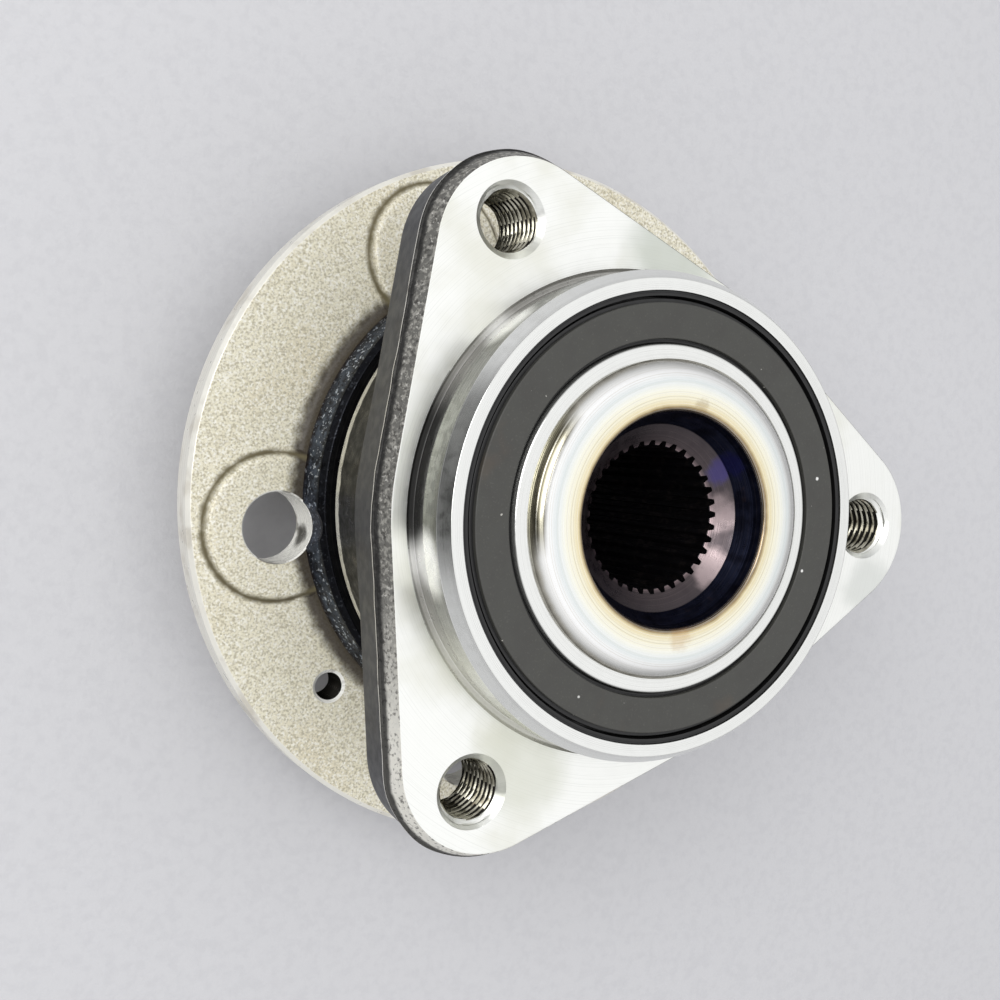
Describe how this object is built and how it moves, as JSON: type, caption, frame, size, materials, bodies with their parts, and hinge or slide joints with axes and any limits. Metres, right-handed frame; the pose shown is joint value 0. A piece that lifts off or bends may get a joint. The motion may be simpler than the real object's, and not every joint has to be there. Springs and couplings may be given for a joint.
{
  "type": "wheel hub bearing",
  "caption": "Driven wheel hub bearing: splined flanged hub turning on two ball rows in a three-lobed ring that bolts to the knuckle.",
  "frame": {"origin": "on the spin axis, in the plane of the seat face for the brake disc", "axes": "+Z along the spin axis, inboard, towards the knuckle; one knuckle bolt lies 4.5 degrees before +X"},
  "size_m": [0.138, 0.138, 0.0776],
  "materials": {
    "hub_steel": "forged and turned steel, shot blasted, light oil",
    "ring_steel": "ground and turned steel on the faces, scale on the forged sides",
    "bearing_steel": "ground bearing steel",
    "ball_steel": "lapped balls",
    "cage_polymer": "glass filled polyamide",
    "seal_steel": "pressed sheet steel",
    "seal_rubber": "matte seal rubber",
    "encoder_rubber": "magnet filled rubber, satin"
  },
  "bodies": {
    "housing": {"outer_ring": "ring_steel", "inboard_seal_case": "seal_steel", "inboard_seal_lip": "seal_rubber", "outboard_seal_case": "seal_steel", "outboard_seal_lip": "seal_rubber"},
    "spindle": {"wheel_hub": "hub_steel", "inner_ring": "bearing_steel", "slinger": "seal_steel", "encoder_ring": "encoder_rubber"},
    "outboard_row": {"outboard_cage": "cage_polymer"},
    "inboard_row": {"inboard_cage": "cage_polymer"},
    "outboard_roll_01": {"outboard_ball_01": "ball_steel"},
    "outboard_roll_02": {"outboard_ball_02": "ball_steel"},
    "outboard_roll_03": {"outboard_ball_03": "ball_steel"},
    "outboard_roll_04": {"outboard_ball_04": "ball_steel"},
    "outboard_roll_05": {"outboard_ball_05": "ball_steel"},
    "outboard_roll_06": {"outboard_ball_06": "ball_steel"},
    "outboard_roll_07": {"outboard_ball_07": "ball_steel"},
    "outboard_roll_08": {"outboard_ball_08": "ball_steel"},
    "outboard_roll_09": {"outboard_ball_09": "ball_steel"},
    "outboard_roll_10": {"outboard_ball_10": "ball_steel"},
    "outboard_roll_11": {"outboard_ball_11": "ball_steel"},
    "outboard_roll_12": {"outboard_ball_12": "ball_steel"},
    "outboard_roll_13": {"outboard_ball_13": "ball_steel"},
    "outboard_roll_14": {"outboard_ball_14": "ball_steel"},
    "outboard_roll_15": {"outboard_ball_15": "ball_steel"},
    "inboard_roll_01": {"inboard_ball_01": "ball_steel"},
    "inboard_roll_02": {"inboard_ball_02": "ball_steel"},
    "inboard_roll_03": {"inboard_ball_03": "ball_steel"},
    "inboard_roll_04": {"inboard_ball_04": "ball_steel"},
    "inboard_roll_05": {"inboard_ball_05": "ball_steel"},
    "inboard_roll_06": {"inboard_ball_06": "ball_steel"},
    "inboard_roll_07": {"inboard_ball_07": "ball_steel"},
    "inboard_roll_08": {"inboard_ball_08": "ball_steel"},
    "inboard_roll_09": {"inboard_ball_09": "ball_steel"},
    "inboard_roll_10": {"inboard_ball_10": "ball_steel"},
    "inboard_roll_11": {"inboard_ball_11": "ball_steel"},
    "inboard_roll_12": {"inboard_ball_12": "ball_steel"},
    "inboard_roll_13": {"inboard_ball_13": "ball_steel"},
    "inboard_roll_14": {"inboard_ball_14": "ball_steel"},
    "inboard_roll_15": {"inboard_ball_15": "ball_steel"}
  },
  "joints": [
    {"name": "hub_spin", "type": "hinge", "parent": "housing", "child": "spindle", "pos_m": [0, 0, 0.0391], "axis": [0, 0, 1], "continuous": true},
    {"name": "outboard_cage_orbit", "type": "hinge", "parent": "housing", "child": "outboard_row", "pos_m": [0, 0, 0.0313], "axis": [0, 0, 1], "continuous": true},
    {"name": "inboard_cage_orbit", "type": "hinge", "parent": "housing", "child": "inboard_row", "pos_m": [0, 0, 0.0469], "axis": [0, 0, 1], "continuous": true},
    {"name": "outboard_ball_spin_01", "type": "hinge", "parent": "outboard_row", "child": "outboard_roll_01", "pos_m": [0.0328, 0, 0.0313], "axis": [-0.5878, 0, 0.809], "continuous": true},
    {"name": "outboard_ball_spin_02", "type": "hinge", "parent": "outboard_row", "child": "outboard_roll_02", "pos_m": [0.02996, 0.01334, 0.0313], "axis": [-0.537, -0.2391, 0.809], "continuous": true},
    {"name": "outboard_ball_spin_03", "type": "hinge", "parent": "outboard_row", "child": "outboard_roll_03", "pos_m": [0.02195, 0.02438, 0.0313], "axis": [-0.3933, -0.4368, 0.809], "continuous": true},
    {"name": "outboard_ball_spin_04", "type": "hinge", "parent": "outboard_row", "child": "outboard_roll_04", "pos_m": [0.01014, 0.03119, 0.0313], "axis": [-0.1816, -0.559, 0.809], "continuous": true},
    {"name": "outboard_ball_spin_05", "type": "hinge", "parent": "outboard_row", "child": "outboard_roll_05", "pos_m": [-0.00343, 0.03262, 0.0313], "axis": [0.0614, -0.5846, 0.809], "continuous": true},
    {"name": "outboard_ball_spin_06", "type": "hinge", "parent": "outboard_row", "child": "outboard_roll_06", "pos_m": [-0.0164, 0.02841, 0.0313], "axis": [0.2939, -0.509, 0.809], "continuous": true},
    {"name": "outboard_ball_spin_07", "type": "hinge", "parent": "outboard_row", "child": "outboard_roll_07", "pos_m": [-0.02654, 0.01928, 0.0313], "axis": [0.4755, -0.3455, 0.809], "continuous": true},
    {"name": "outboard_ball_spin_08", "type": "hinge", "parent": "outboard_row", "child": "outboard_roll_08", "pos_m": [-0.03208, 0.00682, 0.0313], "axis": [0.5749, -0.1222, 0.809], "continuous": true},
    {"name": "outboard_ball_spin_09", "type": "hinge", "parent": "outboard_row", "child": "outboard_roll_09", "pos_m": [-0.03208, -0.00682, 0.0313], "axis": [0.5749, 0.1222, 0.809], "continuous": true},
    {"name": "outboard_ball_spin_10", "type": "hinge", "parent": "outboard_row", "child": "outboard_roll_10", "pos_m": [-0.02654, -0.01928, 0.0313], "axis": [0.4755, 0.3455, 0.809], "continuous": true},
    {"name": "outboard_ball_spin_11", "type": "hinge", "parent": "outboard_row", "child": "outboard_roll_11", "pos_m": [-0.0164, -0.02841, 0.0313], "axis": [0.2939, 0.509, 0.809], "continuous": true},
    {"name": "outboard_ball_spin_12", "type": "hinge", "parent": "outboard_row", "child": "outboard_roll_12", "pos_m": [-0.00343, -0.03262, 0.0313], "axis": [0.0614, 0.5846, 0.809], "continuous": true},
    {"name": "outboard_ball_spin_13", "type": "hinge", "parent": "outboard_row", "child": "outboard_roll_13", "pos_m": [0.01014, -0.03119, 0.0313], "axis": [-0.1816, 0.559, 0.809], "continuous": true},
    {"name": "outboard_ball_spin_14", "type": "hinge", "parent": "outboard_row", "child": "outboard_roll_14", "pos_m": [0.02195, -0.02438, 0.0313], "axis": [-0.3933, 0.4368, 0.809], "continuous": true},
    {"name": "outboard_ball_spin_15", "type": "hinge", "parent": "outboard_row", "child": "outboard_roll_15", "pos_m": [0.02996, -0.01334, 0.0313], "axis": [-0.537, 0.2391, 0.809], "continuous": true},
    {"name": "inboard_ball_spin_01", "type": "hinge", "parent": "inboard_row", "child": "inboard_roll_01", "pos_m": [0.0328, 0, 0.0469], "axis": [0.5878, 0, 0.809], "continuous": true},
    {"name": "inboard_ball_spin_02", "type": "hinge", "parent": "inboard_row", "child": "inboard_roll_02", "pos_m": [0.02996, 0.01334, 0.0469], "axis": [0.537, 0.2391, 0.809], "continuous": true},
    {"name": "inboard_ball_spin_03", "type": "hinge", "parent": "inboard_row", "child": "inboard_roll_03", "pos_m": [0.02195, 0.02438, 0.0469], "axis": [0.3933, 0.4368, 0.809], "continuous": true},
    {"name": "inboard_ball_spin_04", "type": "hinge", "parent": "inboard_row", "child": "inboard_roll_04", "pos_m": [0.01014, 0.03119, 0.0469], "axis": [0.1816, 0.559, 0.809], "continuous": true},
    {"name": "inboard_ball_spin_05", "type": "hinge", "parent": "inboard_row", "child": "inboard_roll_05", "pos_m": [-0.00343, 0.03262, 0.0469], "axis": [-0.0614, 0.5846, 0.809], "continuous": true},
    {"name": "inboard_ball_spin_06", "type": "hinge", "parent": "inboard_row", "child": "inboard_roll_06", "pos_m": [-0.0164, 0.02841, 0.0469], "axis": [-0.2939, 0.509, 0.809], "continuous": true},
    {"name": "inboard_ball_spin_07", "type": "hinge", "parent": "inboard_row", "child": "inboard_roll_07", "pos_m": [-0.02654, 0.01928, 0.0469], "axis": [-0.4755, 0.3455, 0.809], "continuous": true},
    {"name": "inboard_ball_spin_08", "type": "hinge", "parent": "inboard_row", "child": "inboard_roll_08", "pos_m": [-0.03208, 0.00682, 0.0469], "axis": [-0.5749, 0.1222, 0.809], "continuous": true},
    {"name": "inboard_ball_spin_09", "type": "hinge", "parent": "inboard_row", "child": "inboard_roll_09", "pos_m": [-0.03208, -0.00682, 0.0469], "axis": [-0.5749, -0.1222, 0.809], "continuous": true},
    {"name": "inboard_ball_spin_10", "type": "hinge", "parent": "inboard_row", "child": "inboard_roll_10", "pos_m": [-0.02654, -0.01928, 0.0469], "axis": [-0.4755, -0.3455, 0.809], "continuous": true},
    {"name": "inboard_ball_spin_11", "type": "hinge", "parent": "inboard_row", "child": "inboard_roll_11", "pos_m": [-0.0164, -0.02841, 0.0469], "axis": [-0.2939, -0.509, 0.809], "continuous": true},
    {"name": "inboard_ball_spin_12", "type": "hinge", "parent": "inboard_row", "child": "inboard_roll_12", "pos_m": [-0.00343, -0.03262, 0.0469], "axis": [-0.0614, -0.5846, 0.809], "continuous": true},
    {"name": "inboard_ball_spin_13", "type": "hinge", "parent": "inboard_row", "child": "inboard_roll_13", "pos_m": [0.01014, -0.03119, 0.0469], "axis": [0.1816, -0.559, 0.809], "continuous": true},
    {"name": "inboard_ball_spin_14", "type": "hinge", "parent": "inboard_row", "child": "inboard_roll_14", "pos_m": [0.02195, -0.02438, 0.0469], "axis": [0.3933, -0.4368, 0.809], "continuous": true},
    {"name": "inboard_ball_spin_15", "type": "hinge", "parent": "inboard_row", "child": "inboard_roll_15", "pos_m": [0.02996, -0.01334, 0.0469], "axis": [0.537, -0.2391, 0.809], "continuous": true}
  ],
  "couplings": [
    {"joint": "outboard_cage_orbit", "follows": "hub_spin", "ratio": 0.42909},
    {"joint": "inboard_cage_orbit", "follows": "hub_spin", "ratio": 0.42909},
    {"joint": "outboard_ball_spin_01", "follows": "hub_spin", "ratio": -2.7948},
    {"joint": "outboard_ball_spin_02", "follows": "hub_spin", "ratio": -2.7948},
    {"joint": "outboard_ball_spin_03", "follows": "hub_spin", "ratio": -2.7948},
    {"joint": "outboard_ball_spin_04", "follows": "hub_spin", "ratio": -2.7948},
    {"joint": "outboard_ball_spin_05", "follows": "hub_spin", "ratio": -2.7948},
    {"joint": "outboard_ball_spin_06", "follows": "hub_spin", "ratio": -2.7948},
    {"joint": "outboard_ball_spin_07", "follows": "hub_spin", "ratio": -2.7948},
    {"joint": "outboard_ball_spin_08", "follows": "hub_spin", "ratio": -2.7948},
    {"joint": "outboard_ball_spin_09", "follows": "hub_spin", "ratio": -2.7948},
    {"joint": "outboard_ball_spin_10", "follows": "hub_spin", "ratio": -2.7948},
    {"joint": "outboard_ball_spin_11", "follows": "hub_spin", "ratio": -2.7948},
    {"joint": "outboard_ball_spin_12", "follows": "hub_spin", "ratio": -2.7948},
    {"joint": "outboard_ball_spin_13", "follows": "hub_spin", "ratio": -2.7948},
    {"joint": "outboard_ball_spin_14", "follows": "hub_spin", "ratio": -2.7948},
    {"joint": "outboard_ball_spin_15", "follows": "hub_spin", "ratio": -2.7948},
    {"joint": "inboard_ball_spin_01", "follows": "hub_spin", "ratio": -2.7948},
    {"joint": "inboard_ball_spin_02", "follows": "hub_spin", "ratio": -2.7948},
    {"joint": "inboard_ball_spin_03", "follows": "hub_spin", "ratio": -2.7948},
    {"joint": "inboard_ball_spin_04", "follows": "hub_spin", "ratio": -2.7948},
    {"joint": "inboard_ball_spin_05", "follows": "hub_spin", "ratio": -2.7948},
    {"joint": "inboard_ball_spin_06", "follows": "hub_spin", "ratio": -2.7948},
    {"joint": "inboard_ball_spin_07", "follows": "hub_spin", "ratio": -2.7948},
    {"joint": "inboard_ball_spin_08", "follows": "hub_spin", "ratio": -2.7948},
    {"joint": "inboard_ball_spin_09", "follows": "hub_spin", "ratio": -2.7948},
    {"joint": "inboard_ball_spin_10", "follows": "hub_spin", "ratio": -2.7948},
    {"joint": "inboard_ball_spin_11", "follows": "hub_spin", "ratio": -2.7948},
    {"joint": "inboard_ball_spin_12", "follows": "hub_spin", "ratio": -2.7948},
    {"joint": "inboard_ball_spin_13", "follows": "hub_spin", "ratio": -2.7948},
    {"joint": "inboard_ball_spin_14", "follows": "hub_spin", "ratio": -2.7948},
    {"joint": "inboard_ball_spin_15", "follows": "hub_spin", "ratio": -2.7948}
  ]
}
